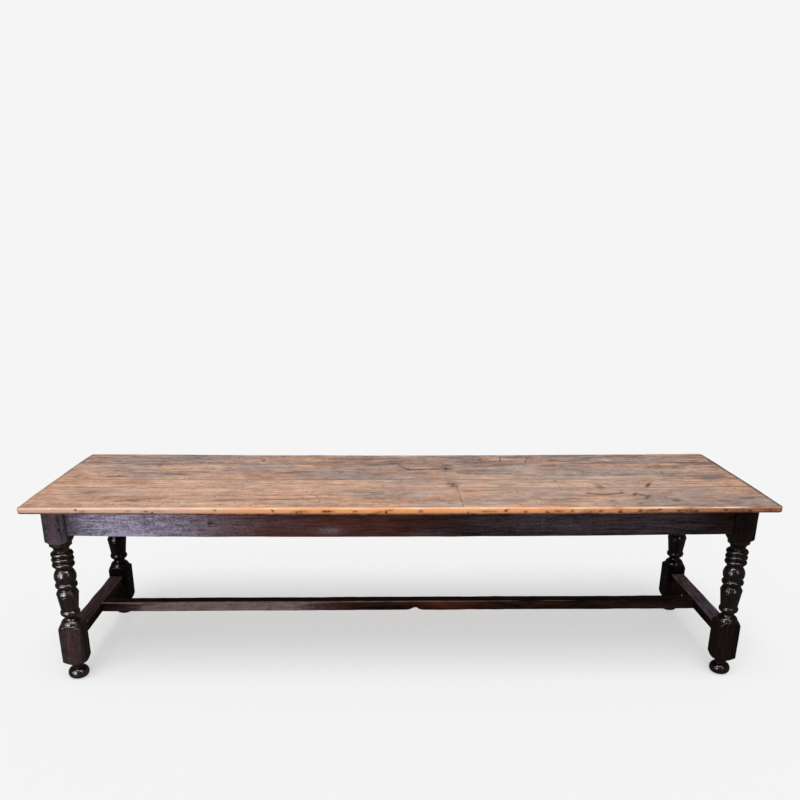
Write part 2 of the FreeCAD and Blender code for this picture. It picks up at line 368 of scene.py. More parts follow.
def makeFloor():
    # a level grid of square cells
    half, count = studio["floorSize"] / 2, studio["floorCells"] + 1
    ticks = np.linspace(-half, half, count)
    x, y = np.meshgrid(ticks, ticks, indexing="ij")
    points = np.stack([x, y, 0 * x - studio["floorDrop"]], -1).reshape(-1, 3)
    cells = gridCells(np.arange(count * count).reshape(count, count))
    mesh = bpy.data.meshes.new("paperFloor")
    mesh.from_pydata(points.tolist(), [], cells.tolist())
    material, paper = newFinish("paperFloor")
    lit = paper.add("BsdfDiffuse", {"Color": studio["paper"]})
    own = paper.add("Emission", {"Color": studio["paper"], "Strength": 1.0})
    both = paper.add("MixShader", {0: shownRays(paper) * studio["glow"], 1: lit, 2: own})
    paper.add("OutputMaterial", {"Surface": both}, ())
    mesh.materials.append(material)
    floor = bpy.data.objects.new("paperFloor", mesh)
    scene.collection.objects.link(floor)


def makeRoom():
    world = bpy.data.worlds.new("studioRoom")
    world.use_nodes = True
    scene.world = world
    room = Finish(world.node_tree)
    wall = room.add("Background", {"Color": studio["paper"], "Strength": 1.0})
    light = room.add("Background", {"Color": (1, 1, 1, 1), "Strength": studio["room"]})
    both = room.add("MixShader", {0: shownRays(room), 1: light, 2: wall})
    room.add("OutputWorld", {"Surface": both}, ())


def addSun(name, azimuth, height, share, softness):
    side, rise = math.radians(azimuth), math.radians(height)
    data = bpy.data.lights.new(name, "SUN")
    data.energy = share * math.pi / math.sin(rise)
    data.angle = math.radians(softness)
    lamp = bpy.data.objects.new(name, data)
    lamp.rotation_euler = (math.pi / 2 - rise, 0, -side)
    scene.collection.objects.link(lamp)


def addGlint(name, place, target, size, brightness):
    # a window that shows only in the polish of the legs
    data = bpy.data.lights.new(name, "AREA")
    data.shape = "RECTANGLE"
    data.size, data.size_y = size
    data.energy = brightness * math.pi * size[0] * size[1]
    lamp = bpy.data.objects.new(name, data)
    back = np.array(place, float) - np.array(target, float)
    back /= np.linalg.norm(back)
    right = np.cross((0, 0, 1), back)
    right /= np.linalg.norm(right)
    lamp.matrix_world = facing(right, np.cross(back, right), back, place)
    lamp.visible_diffuse = False
    lamp.visible_camera = False
    lamp.light_linking.receiver_collection = polished
    scene.collection.objects.link(lamp)


makeFloor()
makeRoom()
for name, sun in studio["suns"].items():
    addSun(name, *sun)
for name, glint in studio["glints"].items():
    addGlint(name, *glint)
print("floor, room and lamps ready")


# Woods

plankLook = {
    # dark, middle and light of the warm wood, and of the wood that has gone grey
    "warm": (tint(110, 77, 62), tint(192, 149, 123), tint(232, 191, 162)),
    "grey": (tint(85, 73, 70), tint(151, 133, 125), tint(190, 171, 160)),
    # the pale bare colour is painted sheen at the left of the front edge
    "bare": tint(255, 172, 110), "paleSheenBare": tint(232, 188, 168), "brownBare": tint(128, 68, 38),
    # next: a painted highlight for the upper arris of the front edge, and painted shade with brown smears
    # for its lower part
    "lip": tint(255, 226, 196), "foot": tint(66, 34, 22), "endGrain": tint(56, 40, 35),
    "stain": tint(46, 33, 29), "pale": tint(214, 200, 188), "ash": tint(92, 90, 93),
    "hole": tint(34, 18, 12),
    # noises: scale along, scale across, detail, roughness
    "grain": {"drift": (0.9, 5, 2, 0.55), "band": (1.6, 22, 5, 0.66), "streak": (6, 60, 4, 0.68),
              "mottle": (24, 34, 5, 0.72), "blur": (8, 14, 5, 0.66), "cloud": (2.4, 5, 4, 0.62),
              "fibre": (24, 480, 3, 0.6), "fleck": (90, 30, 2, 0.6)},
    # millimetres: x, y, half length, half width
    "knots": ((203, 171, 20, 40), (208, -91, 19, 40), (800, -134, 14, 28), (-620, 310, 8, 16),
              (-1060, 200, 7, 14)),
    "knotTurn": 8,
    # short dark strokes: turn in degrees, cells a metre along and across, share left out, step of the seed
    "ticks": ((72, (16, 75), 0.84, 0), (-64, (18, 80), 0.86, 3), (6, (11, 70), 0.72, 5)),
    # along the planks: x and y of both ends, width
    "longCracks": (((-0.012, 0.215), (0.05, 0.128), 0.013), ((0.01, 0.142), (0.2, 0.152), 0.011),
                   ((-1.11, -0.322), (-1.0, -0.315), 0.011), ((0.62, 0.05), (0.98, 0.045), 0.008),
                   ((-0.55, -0.3), (-0.2, -0.295), 0.007)),
    # across them: y and x of both ends, width
    "crossCracks": (((0.26, 0.455), (0.395, 0.47), 0.0035), ((0.25, 0.56), (0.37, 0.6), 0.0035)),
    "brokenCrack": ((-0.4, 0.2245), (-0.06, 0.2185), 0.0022),
    "crackSway": 0.014, "brokenSway": 0.0042,
}


def plankWood(name, shift, lift):
    # lift makes a whole plank a little lighter or darker
    material, wood = newFinish(name)
    look = plankLook
    rise, mix = wood.rise, wood.mix
    place = wood.place()
    x, y, z = wood.axes(place)

    def grain(key, source, offset=(0, 0, 0)):
        along, across, detail, rough = look["grain"][key]
        return wood.noise(wood.stretched(source, (along, across, across), offset), 1, detail, rough)

    def stained(colour, mark, key, patches, low, high, least, most=1.0):
        # colour where a mark kept per point has stained it, in patches
        return mix(wood.worn(mark) * rise(patches, low, high, least, most), colour, look[key])

    drift = grain("drift", place, (shift, 0, 0))
    lane = wood.joined(x + shift, y + (drift - 0.5) * 0.028, z)
    band = grain("band", lane)
    streak = grain("streak", lane)
    mottle = grain("mottle", lane, (4, 0, 0))
    blur = grain("blur", place, (shift, 5, 0))
    cloud = grain("cloud", place, (shift * 1.7, 2, 0))
    fibre = grain("fibre", lane)
    fleck = grain("fleck", place)
    # darker and of more contrast to the back, darker and greyer at the front right
    backward = rise(y, -0.22, 0.36)
    rightward = rise(x, 0.55, 1.2) * rise(y, -0.02, -0.25)
    tone = band * 0.7 + streak * 0.95 + mottle * 0.85 + blur * 0.7 + fibre * 0.4 - 1.3 + lift
    tone = tone - backward * (0.06 + rise(x, 0.5, 1.1) * 0.07) - rightward * 0.08
    tone = (tone - 0.5) * (0.82 + backward * 0.2) + 0.5
    # knots: a dark heart, a flecked ring, and darker wood drawn round them
    heart = 0.0
    for knotX, knotY, *half in np.array(look["knots"]) / 1000:
        away = wood.spot(place, (knotX, knotY), half, look["knotTurn"]) + (mottle - 0.5) * 1.4
        ring = (1 - rise(away, 1.0, 1.5)) * rise(fleck, 0.5, 0.58)
        heart = heart + (1 - rise(away, 0.2, 0.8)) * 0.45 + ring * 0.85
        tone = tone - (1 - rise(away, 0.8, 2.2)) * 0.12
    # greyer at the back and the front right, warmer at the front left
    aged = blur * 0.4 + cloud * 0.9 + band * 0.4 - 0.35
    aged = aged + backward * (1 - rise(x, 0.4, 1.0)) * 0.07 + rightward * 0.1
    aged = aged - rise(x, 0.0, -1.0) * (1 - backward) * 0.1
    warm, grey = wood.ramp(tone, look["warm"]), wood.ramp(tone, look["grey"])
    colour = mix(rise(aged, 0.38, 0.7), warm, grey)
    # short dark strokes in three directions, dark pores, knots
    ticks = sum(wood.strokes(place, turn, scale, keep, shift + step)
                for turn, scale, keep, step in look["ticks"])
    colour = mix(ticks * rise(blur + cloud, 0.8, 1.1, 0.25, 0.8), colour, look["stain"])
    colour = mix(rise(fibre, 0.6, 0.74) * 0.4, colour, look["stain"])
    colour = mix(heart, colour, look["stain"])
    # ash-grey stains, burns and scratches, pale spots, dirt along the seams
    colour = stained(colour, "ash", "ash", mottle, 0.3, 0.6, 0.6)
    colour = stained(colour, "dark", "stain", mottle, 0.3, 0.6, 0.6)
    colour = stained(colour, "pale", "pale", mottle, 0.35, 0.65, 0.4)
    colour = stained(colour, "seam", "stain", mottle + blur, 0.8, 1.2, 0.0, 0.6)
    wobble = (blur - 0.5) * look["crackSway"]
    split = wood.crack(y, x, *look["brokenCrack"], (blur - 0.5) * look["brokenSway"])
    split = split * rise(mottle, 0.38, 0.55)
    split = split + sum(wood.crack(x, y, *line, wobble) for line in look["longCracks"])
    split = split + sum(wood.crack(y, x, *line, wobble) for line in look["crossCracks"])
    colour = mix(split * 0.85, colour, look["stain"])
    # the handled edge is rubbed to bare wood: orange in the middle, brown at the right, and paler at the
    # left, where the pale is painted sheen
    edge = wood.worn("edge")
    bare = mix(rise(x + (blur - 0.5) * 0.6, -0.35, -0.95), look["bare"], look["paleSheenBare"])
    bare = mix(rise(x + (mottle - 0.5) * 1.2, 0.35, 1.4) * 0.85, bare, look["brownBare"])
    bare = mix(rise(mottle * 0.7 + streak * 0.4, 0.59, 0.76) * 0.6, bare, look["brownBare"])
    colour = mix(edge, colour, bare)
    # its painted highlight along the upper arris, painted shade and brown smears along the lower part, dark
    # end grain and holes
    colour = stained(colour, "lip", "lip", streak + blur, 0.8, 1.15, 0.35, 0.95)
    colour = stained(colour, "foot", "foot", streak + mottle, 0.75, 1.15, 0.6)
    colour = stained(colour, "end", "endGrain", blur, 0.3, 0.6, 0.7)
    colour = stained(colour, "pit", "hole", mottle, 0.3, 0.6, 0.5)
    rough = 0.52 + (mottle - 0.5) * 0.4 + edge * 0.1
    height = streak * 0.5 + mottle * 0.4 + fibre * 0.4 - split * 1.5 - heart * 0.6 - ticks * 0.5
    wood.surface(colour, rough, height, 0.4, 0.001, {"Specular IOR Level": 0.08, "IOR": 1.45})
    return material


frameLook = {
    "black": tint(12, 9, 9), "brown": tint(58, 41, 35), "red": tint(98, 52, 36),
    # the pale lavender is dust, and also painted sheen of light from the left
    "bare": tint(166, 138, 124), "dust": tint(196, 190, 218), "soot": tint(6, 5, 5),
    # noises: scale along the grain, scale across, detail, offset
    "grain": {"band": (2.4, 34, 5, 0.0), "streak": (11, 130, 4, 3.1), "fibre": (30, 800, 2, 7.7),
              "cloud": (4, 10, 4, 11.3)},
    "wax": {"Specular IOR Level": 0.0, "IOR": 1.45, "Coat Roughness": 0.21, "Coat IOR": 1.5},
}


def darkWood(name, along, shift, depth=1.0, gloss=0.3, split=None):
    # along is the grain's axis, 0, 1 or 2; depth below 1 is blacker; gloss is the wax on it
    material, wood = newFinish(name)
    look = frameLook
    rise, mix = wood.rise, wood.mix
    place = wood.place()

    def grain(key):
        longWise, crossWise, detail, offset = look["grain"][key]
        scale = [crossWise] * 3
        scale[along] = longWise
        return wood.noise(wood.stretched(place, scale, (shift + offset, offset, shift)), 1, detail, 0.64)

    band, streak, fibre, cloud = (grain(key) for key in ("band", "streak", "fibre", "cloud"))
    scuff = wood.noise(wood.stretched(place, (30, 30, 30), (shift, 0, 4)), 1, 5, 0.68)
    grit = wood.noise(wood.stretched(place, (90, 120, 150), (shift, 0, 9)), 1, 3, 0.7)
    tone = rise(band * 0.6 + streak * 0.6 - 0.1, 0.34, 0.7)
    colour = mix(tone * depth, look["black"], look["brown"])
    # reddish clouds and patches, rubbed arrises, pale lavender dust that also stands for painted sheen,
    # black pores and holes
    red = rise(cloud + (streak - 0.5) * 0.7, 0.58, 0.86) * 0.1 * depth
    colour = mix(red + wood.worn("red") * (0.5 + tone * 0.8), colour, look["red"])
    bare = rise(wood.worn("wear") * 0.8 + (scuff - 0.5) * 0.5 + (streak - 0.5) * 0.6, 0.42, 0.98)
    colour = mix(bare * 0.7, colour, look["bare"])
    dust = wood.worn("dust") * rise(grit * 0.6 + streak * 0.4 + scuff * 0.3, 0.51, 0.79, 0.32, 1.28)
    colour = mix(dust, colour, look["dust"])
    colour = mix(rise(fibre, 0.56, 0.72) * 0.5, colour, look["soot"])
    colour = mix(wood.worn("pit"), colour, look["soot"])
    height = streak * 0.45 + fibre * 0.3 + scuff * 0.3
    if split is not None:
        x, _, z = wood.axes(place)
        line = wood.crack(z, x, *split, (scuff - 0.5) * 0.006)
        colour = mix(line, colour, look["soot"])
        height = height - line * 1.5
    rough = 0.4 + (scuff - 0.5) * 0.3 + bare * 0.15 + dust * 0.2
    wax = rise(scuff, 0.3, 0.75, 0.16, 0.13) * (0.25 + wood.worn("polish") * 0.75) * gloss
    coat = wax * (1 - bare * 0.4) * (1 - dust * 0.5)
    wood.surface(colour, rough, height, 0.16, 0.0003, {"Coat Weight": coat, **look["wax"]})
    return material


def pegWood(name, base, deep):
    # end grain: rings and fine fibres of a deeper colour
    material, wood = newFinish(name)
    place = wood.place()
    ring = wood.noise(place, 260, 3, 0.6)
    fibre = wood.noise(place, 900, 2, 0.5)
    colour = wood.mix(wood.rise(ring, 0.35, 0.65), base, deep)
    colour = wood.mix(wood.rise(fibre, 0.55, 0.75) * 0.5, colour, deep)
    rough = 0.5 + (ring - 0.5) * 0.3
    wood.surface(colour, rough, ring + fibre * 0.5, 0.4, 0.0004, {"Specular IOR Level": 0.02})
    return material


# How the years have bent the table: everything above the legs sinks a little between them

sag = {
    "span": 1.3, "topFront": 0.001, "topBack": 0.006, "under": 0.006, "apronFoot": 0.008,
    # the upper face lies a little under its full height, with shallow waves: seed, length, depth
    "hollow": 0.0004, "waves": ((3, 0.9, 0.0006), (4, 0.16, 0.00025)), "waveStretch": 2.5,
}
topHeight, backY = cadHigh[2], cadHigh[1]
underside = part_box("top_board_front")[0][2]


def bow(x):
    # 1 in the middle, falling as a parabola to 0 over the legs
    return np.clip(1 - (x / sag["span"]) ** 2, 0, 1)


def underLevel(x):
    return underside - sag["under"] * bow(x)


def topLevel(x, y):
    # the worn upper face: its sag grows from front to back
    deep = sag["topFront"] + (sag["topBack"] - sag["topFront"]) * ease(-backY, backY, y)
    level = topHeight - deep * bow(x) - sag["hollow"]
    for seed, length, depth in sag["waves"]:
        level = level + depth * waver(seed, (x, y * sag["waveStretch"]), length)
    return level


# Planks of the top

plank = {
    # node, piece, how much lighter, in order from the front
    "boards": (("top_board_front", "frontPlank", 0.02), ("top_board_inner_front", "innerFrontPlank", 0.05),
               ("top_board_inner_back", "innerBackPlank", 0.0), ("top_board_back", "backPlank", -0.02)),
    "grainStart": 1.3, "grainStep": 3.7,
    # spacing of the grid lines along, across and up, and reach of the crowded ones at the edges
    "grid": ((0.005, 0.022), (0.009, 0.02), (0.004, 0.008)),
    "edgeRadius": 0.006, "seamRadius": 0.0009, "cornerRadius": 0.018, "arrisReach": 0.012,
    "edgeWave": 0.0016, "edgeReach": 0.022, "endWear": 0.0012, "endReach": 0.02,
    # nail holes and knocks in the front edge, in millimetres: x, height, half width, depth
    "knocks": (
        (-1210, 17, 6, 1.5), (-930, 8, 5, 1.5), (-700, 16, 7, 1.8), (-486, 15, 6, 2.5), (-400, 9, 4, 1.5),
        (-294, 13, 9, 3), (-182, 12, 10, 3), (-67, 10, 8, 3), (63, 13, 11, 3), (240, 9, 5, 2),
        (381, 14, 9, 3), (457, 10, 10, 3), (535, 9, 11, 3), (630, 13, 8, 3), (739, 12, 10, 3),
        (811, 9, 8, 3), (886, 11, 12, 3), (960, 16, 6, 2), (1030, 10, 10, 3), (1098, 9, 8, 2.5),
        (1208, 12, 10, 3), (1300, 10, 8, 2)),
    "knockLines": (-1.3, -0.8, -0.4, 0, 0.4, 0.8, 1.3),   # extra grid lines, in half widths of a knock
    # longer brown smears there: x, height, half length, half height, turn in degrees, strength
    "smears": (
        (-1187, 12, 16, 4, 0, 0.5), (-1020, 13, 12, 3, 8, 0.5), (-953, 12, 16, 3, 0, 0.5),
        (-905, 14, 18, 4, -5, 0.4), (-382, 12, 28, 4, 2, 0.7), (-282, 13, 22, 4, 0, 0.8),
        (-90, 11, 22, 3, 4, 0.6), (-52, 16, 14, 3, 0, 0.7), (315, 12, 35, 3, 0, 0.6),
        (580, 12, 22, 4, 0, 0.6), (700, 11, 22, 4, 3, 0.6), (930, 12, 30, 4, 0, 0.7),
        (1070, 11, 36, 4, 0, 0.7), (1260, 12, 30, 5, 0, 0.8), (1370, 13, 25, 5, 0, 0.7)),
    # marks on the face: x, y, half length, half width, turn, strength
    "dark": (
        (-990, 66, 30, 12, 8, 0.6), (-930, 60, 30, 10, -6, 0.7), (-1221, 21, 16, 14, 30, 0.7),
        (-1190, 30, 14, 12, 20, 0.5), (-1226, 243, 30, 10, 0, 0.7), (-1054, 280, 20, 12, 0, 0.6),
        (-848, 99, 25, 9, 0, 0.7), (-1225, -211, 30, 14, 10, 0.45), (-660, -310, 50, 9, 2, 0.6),
        (370, 327, 5, 22, 0, 0.9), (400, 330, 7, 12, 0, 0.5), (5, -226, 12, 8, 0, 0.5),
        (590, 268, 50, 10, 4, 0.7), (700, 300, 30, 10, 12, 0.7), (780, 270, 30, 10, -14, 0.7),
        (860, 335, 30, 10, 8, 0.8), (834, -94, 30, 9, 0, 0.7), (1010, -110, 36, 7, 62, 1.4),
        (915, -240, 22, 7, 60, 1.1), (935, -245, 18, 7, -50, 0.8), (951, -284, 26, 7, 57, 1.3),
        (1052, -323, 20, 14, 10, 1.1), (765, -239, 34, 8, -16, 1.0), (828, -238, 36, 8, 17, 1.0),
        (735, -226, 10, 10, 0, 0.8), (868, -222, 12, 10, 40, 0.9), (800, -330, 16, 12, 40, 0.6),
        (900, -360, 14, 10, 60, 0.5), (1129, 75, 6, 30, -12, 0.8), (1338, -296, 50, 8, 11, 1.0),
        (1084, 346, 12, 12, 0, 0.7), (1223, 342, 10, 14, 30, 0.8), (1270, 254, 120, 10, -4, 0.6),
        (1050, 370, 80, 10, 0, 0.5)),
    "pale": (
        (946, 300, 16, 14, 0, 1.0), (100, -200, 120, 20, 0, 0.2), (850, 30, 250, 80, 0, 0.4),
        (-950, -180, 200, 30, 0, 0.3), (-950, 0, 250, 60, 0, 0.15), (-450, -100, 180, 20, 0, 0.2)),
    "ash": (
        (1303, -5, 50, 50, -10, 0.9), (203, 171, 26, 55, 0, 0.35), (208, -91, 24, 50, 0, 0.25),
        (300, 335, 60, 40, 0, 0.45), (-1220, -190, 60, 50, 20, 0.4), (-960, 62, 80, 20, 0, 0.5),
        (-380, 60, 160, 30, 0, 0.3)),
}


def roundCorners(points, low, high, side):
    # plan corners of the front (-1) or back (1) edge: a square corner patch drawn in to a quarter disc
    size = plank["cornerRadius"]
    pivotX = high[0] - size
    pivotY = (high[1] if side > 0 else low[1]) - side * size
    dx = np.abs(points[:, 0]) - pivotX
    dy = (points[:, 1] - pivotY) * side
    corner = (dx > 0) & (dy > 0)
    shrink = np.where(corner, np.maximum(dx, dy) / np.maximum(np.hypot(dx, dy), 1e-9), 1)
    points[:, 0] = np.where(corner, np.sign(points[:, 0]) * (pivotX + dx * shrink), points[:, 0])
    points[:, 1] = np.where(corner, pivotY + side * dy * shrink, points[:, 1])


def makePlank(node, name, finish, frontEdge, backEdge):
    # a box of grid lines: a wide round along the handled edges, a small one along the seams
    low, high = nodeBox(node)
    knocks = np.array(plank["knocks"]) / 1000
    extra = (knocks[:, :1] + np.array(plank["knockLines"]) * knocks[:, 2:3]).ravel() if frontEdge else ()
    grid = [lines(low[i], high[i], *plank["grid"][i], extra if i == 0 else ()) for i in range(3)]
    points, faces = boxSkin(*grid)
    nearArris = edgeNearness(points, low, high, plank["arrisReach"])
    across = (points[:, 1] - low[1]) / (high[1] - low[1])
    front, back = (plank["edgeRadius" if outer else "seamRadius"] for outer in (frontEdge, backEdge))
    points = roundEdges(points, low, high, front + (back - front) * ease(0.2, 0.8, across))
    if frontEdge:
        roundCorners(points, low, high, -1)
    if backEdge:
        roundCorners(points, low, high, 1)
    x, y, z = points.T.copy()
    up = (z - low[2]) / (high[2] - low[2])
    # handled edges wander, with a painted highlight along the upper arris and painted shade with brown
    # smears along the lower part; the others are seams
    edge, seam, pit, lip, foot = np.zeros((5, len(points)))
    for outer, side, face in ((frontEdge, 1, low[1]), (backEdge, -1, high[1])):
        if outer:
            nearness = 1 - ease(0, plank["edgeReach"], np.abs(y - face))
            wander = waver(11 + side, (x, z * 3), 0.5) * 0.6 + waver(15 + side, (x, z), 0.07) * 0.4
            y = y + side * nearness * plank["edgeWave"] * (0.55 + wander * 0.5)
            edge = np.maximum(edge, 1 - ease(0.003, 0.013, np.abs(y - face)))
            nearFace = 1 - ease(0.005, 0.011, np.abs(y - face))
            patchy = 0.75 + 0.4 * waver(17 + side, (x,), 0.3)
            # a painted highlight along the upper arris, and painted shade along the lower part
            lip = lip + np.exp(-((up - 0.92) / 0.1) ** 2) * nearFace * patchy
            foot = foot + (1 - ease(0.13, 0.42, up)) * nearFace
        else:
            seam = np.maximum(seam, 1 - ease(0.001, 0.008, np.abs(y - face)))
    if frontEdge:
        # each knock is a leaning bell, with ragged strength
        lean = np.random.default_rng(19).uniform(-0.9, 0.9, len(knocks))
        tall = np.random.default_rng(20).uniform(0.0026, 0.0052, len(knocks))
        over = z[:, None] - underside - knocks[:, 1]
        beside = x[:, None] - knocks[:, 0] - lean * over
        bell = np.exp(-(beside / (0.75 * knocks[:, 2])) ** 2 - (over / tall) ** 2)
        onFace = 1 - ease(0.003, 0.009, np.abs(y - low[1]))
        y = y + (bell * knocks[:, 3] * 0.4).sum(1) * onFace
        ragged = 1.3 + 0.8 * waver(23, (x, z), 0.02)
        pit = np.clip(bell.sum(1) * ragged, 0, 1) * onFace
        foot = foot + blots(x, z - underside, plank["smears"]) * ragged * onFace
    # both ends are worn a little, unevenly
    ragged = 0.4 + 0.5 * waver(21, (y, z * 2), 0.2)
    x = x - np.sign(x) * (1 - ease(0, plank["endReach"], high[0] - np.abs(x))) * ragged * plank["endWear"]
    points = np.stack([x, y, underLevel(x) * (1 - up) + topLevel(x, y) * up], 1)
    upper = ease(0.7, 0.95, up)
    marks = {key: np.clip(blots(x, y, plank[key]), 0, 1) * upper for key in ("dark", "pale", "ash")}
    marks["edge"] = np.clip(edge + (nearArris * 0.5 if frontEdge else 0), 0, 1) * (0.5 + 0.5 * up)
    atEnd = 1 - ease(0.006, 0.02, high[0] - np.abs(x))
    marks["end"] = atEnd * (1 - edge * 0.5) * np.where(x > 0, 1, 0.35)
    marks.update({"pit": pit, "lip": np.clip(lip, 0, 1), "foot": np.clip(foot, 0, 1), "seam": seam})
    makePiece(name, points, faces, finish, node, marks)


for order, (node, name, lift) in enumerate(plank["boards"]):
    finish = plankWood(name + "Wood", plank["grainStep"] * order + plank["grainStart"], lift)
    makePlank(node, name, finish, order == 0, order == len(plank["boards"]) - 1)
print("planks laid")


# Aprons, stretchers and bearers

legInner, legOuter = (corner[:2] for corner in nodeBox("leg_back_right"))   # the others mirror it
rail = {
    "step": 0.012, "crossStep": 0.008, "reach": 0.006, "arrisReach": 0.007,
    "apronRadius": 0.0028, "stretcherRadius": 0.0034, "bearerRadius": 0.003,
    "wave": 0.0007,   # how far the faces stray
    "shoulder": 0.002,   # how far a rail runs into the face that it meets
    "chip": (0.063, 0.019, 0.012),   # knocked-out notch under the centre stretcher: x, half length, depth
}


def makeRail(node, name, finish, along, ends, radius, seed, bend, chip, marks):
    # a bar with eased, worn arrises: along is its axis, ends are where it meets what carries it
    low, high = nodeBox(node)
    low[along], high[along] = ends
    steps, extra = [rail["crossStep"]] * 3, [(), (), ()]
    steps[along] = rail["step"]
    if chip is not None:
        extra[along] = chip[0] + chip[1] * np.linspace(-1.3, 1.3, 27)
    grid = [lines(low[i], high[i], steps[i], rail["reach"], extra[i]) for i in range(3)]
    points, faces = boxSkin(*grid)
    near = edgeNearness(points, low, high, rail["arrisReach"])
    softened = radius * (1 + 0.55 * waver(seed, points[:, [along]].T, 0.35))
    points = roundEdges(points, low, high, softened)
    wave = np.stack([waver(seed + k, points.T, 0.7) for k in range(3)], 1) * rail["wave"]
    wave[:, along] = 0
    points = points + wave
    values = {"wear": near * (0.45 + 0.4 * waver(seed + 9, points.T, 0.25))}
    if chip is not None:
        # a bite out of the lower front arris
        beside = (points[:, along] - chip[0]) / chip[1]
        bite = np.exp(-beside ** 2) * (1 + 0.25 * waver(seed + 5, points.T, 0.03))
        bite = bite * (1 - ease(0, 0.022, points[:, 2] - low[2]))
        bite = bite * (1 - ease(0, 0.035, points[:, 1] - low[1]))
        points[:, 2] += bite * chip[2]
        values["red"] = bite * 0.6
    if marks is not None:
        for key, mark in marks(*points.T).items():
            values[key] = np.clip(mark + values.get(key, 0), 0, 1)
    if bend is not None:
        points[:, 2] += bend(points, low, high)
    makePiece(name, points, faces, finish, node, values)


def apronBend(points, low, high):
    # the upper edge follows the planks, the lower edge has sunk a little more
    up = (points[:, 2] - low[2]) / (high[2] - low[2])
    return -bow(points[:, 0]) * (sag["apronFoot"] * (1 - up) + sag["under"] * up)


def bearerBend(points, low, high):
    return -bow(points[:, 0]) * sag["under"]


# marks on the front apron, in millimetres: x, z, half length, half height, turn, strength
apronMarks = {
    "front": (-0.338, -0.341),   # y where a mark on the front face starts, and where it is full
    "smears": (
        (-281, 646, 50, 12, 0, 0.22), (103, 636, 70, 12, 0, 0.08), (570, 672, 340, 60, 0, 0.085),
        (-470, 674, 160, 50, 0, 0.08), (-620, 675, 100, 50, 0, 0.06), (-120, 672, 160, 50, 0, 0.03)),
    "knots": ((-737, 675, 12, 8, 0, 0.9), (660, 694, 10, 7, 0, 0.7)),
    "red": ((-150, 664, 250, 40, 0, 0.2), (180, 684, 200, 30, 0, 0.1), (-640, 675, 90, 50, 0, 0.2)),
}


def apronMarked(x, y, z):
    # paler and lavender at the left third of the front: partly dust, partly painted sheen of light from the
    # left, with painted shade close to the leg; some smears further on
    left = ease(-0.5, -1.16, x) * (0.96 + 0.3 * waver(31, (x * 0.2, z), 0.03))
    # painted shade: less of it close to the leg
    left = left * (0.2 + 0.8 * ease(-1.29, -1.15, x))
    right = ease(0.75, 1.0, x) * ease(1.28, 1.05, x) * 0.04
    dust = (left + right + blots(x, z, apronMarks["smears"])) * ease(*apronMarks["front"], y)
    # reddish from the middle to the left, fading before the dust and painted sheen
    red = ease(0.3, -0.25, x) * ease(-1.2, -0.75, x) * 0.62 + blots(x, z, apronMarks["red"])
    return {"dust": dust, "pit": blots(x, z, apronMarks["knots"]), "red": red}


# marks on the stretchers, in the same order
stretcherMarks = {
    "front": (-0.018, -0.023), "patchFront": (-0.018, -0.024),   # y, as on the apron
    "patches": (
        (-840, 176, 160, 20, 0, 0.8), (200, 177, 150, 20, 0, 1.0), (-350, 174, 160, 18, 0, 0.6),
        (620, 176, 140, 14, 0, 0.25), (-1100, 179, 80, 16, 0, 0.6)),
    "scrapes": ((-830, 183, 20, 4, 0, 0.6), (-640, 185, 16, 4, 12, 0.6)),
    "arris": 0.1945, "arrisHalf": 0.0035,   # height of the pale upper arris, and half its width
    "upper": (0.19, 0.196),                 # height where a mark on the upper face starts, and is full
}


def centreMarked(x, y, z):
    # brown patches where shoes have rubbed the front
    look = stretcherMarks
    front = ease(*look["front"], y)
    red = blots(x, z, look["patches"]) * ease(*look["patchFront"], y)
    # pale all along the left of the front, a paler line on the upper arris, a few scrapes
    left = ease(-0.2, -0.55, x) * ease(-1.27, -1.08, x)
    wide = left * (1.1 + 0.25 * waver(59, (x * 0.3, z), 0.03))
    arris = np.exp(-((z - look["arris"]) / look["arrisHalf"]) ** 2) * ease(1.2, -0.4, x) * 1.25
    rub = (wide + arris + blots(x, z, look["scrapes"])) * front
    return {"red": red, "wear": rub, "dust": left * front * 0.15}


def endMarked(x, y, z):
    # rubbed and dusty along the upper face, the right one more
    upper = ease(*stretcherMarks["upper"], z)
    rub = np.where(x > 0, 0.54, 0.32) + 0.15 * waver(57, (x * 8, y), 0.25)
    veil = 0.065 + 0.03 * waver(58, (x * 8, y), 0.4)
    return {"wear": upper * rub, "dust": upper * veil * np.where(x > 0, 3.2, 1.0), "red": upper * 0.25}


def bothWays(reach):
    # the ends of a rail that meets a face at reach on both sides
    return (-reach - rail["shoulder"], reach + rail["shoulder"])


longEnds, shortEnds = bothWays(legInner[0]), bothWays(legInner[1])
centreEnds = bothWays(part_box("end_stretcher_right")[0][0])
bearerEnds = bothWays(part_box("apron_back")[0][1])
railTable = (
    # node, piece, seed, shift of the grain, axis, ends, depth of colour, kind, bend, marks
    ("apron_front", "frontApron", 41, 2.1, 0, longEnds, 1.0, "apron", apronBend, apronMarked),
    ("apron_back", "backApron", 43, 5.3, 0, longEnds, 1.0, "apron", apronBend, None),
    ("apron_left", "leftApron", 45, 13.5, 1, shortEnds, 1.0, "apron", None, None),
    ("apron_right", "rightApron", 47, 14.1, 1, shortEnds, 1.0, "apron", None, None),
    ("end_stretcher_left", "leftStretcher", 51, 15.3, 1, shortEnds, 0.8, "stretcher", None, endMarked),
    ("end_stretcher_right", "rightStretcher", 53, 15.9, 1, shortEnds, 0.8, "stretcher", None, endMarked),
    ("centre_stretcher", "centreStretcher", 55, 8.8, 0, centreEnds, 1.0, "stretcher", None, centreMarked),
    ("bearer_left", "leftBearer", 61, 18.3, 1, bearerEnds, 1.0, "bearer", bearerBend, None),
    ("bearer_middle", "middleBearer", 63, 18.9, 1, bearerEnds, 1.0, "bearer", bearerBend, None),
    ("bearer_right", "rightBearer", 65, 19.5, 1, bearerEnds, 1.0, "bearer", bearerBend, None),
)
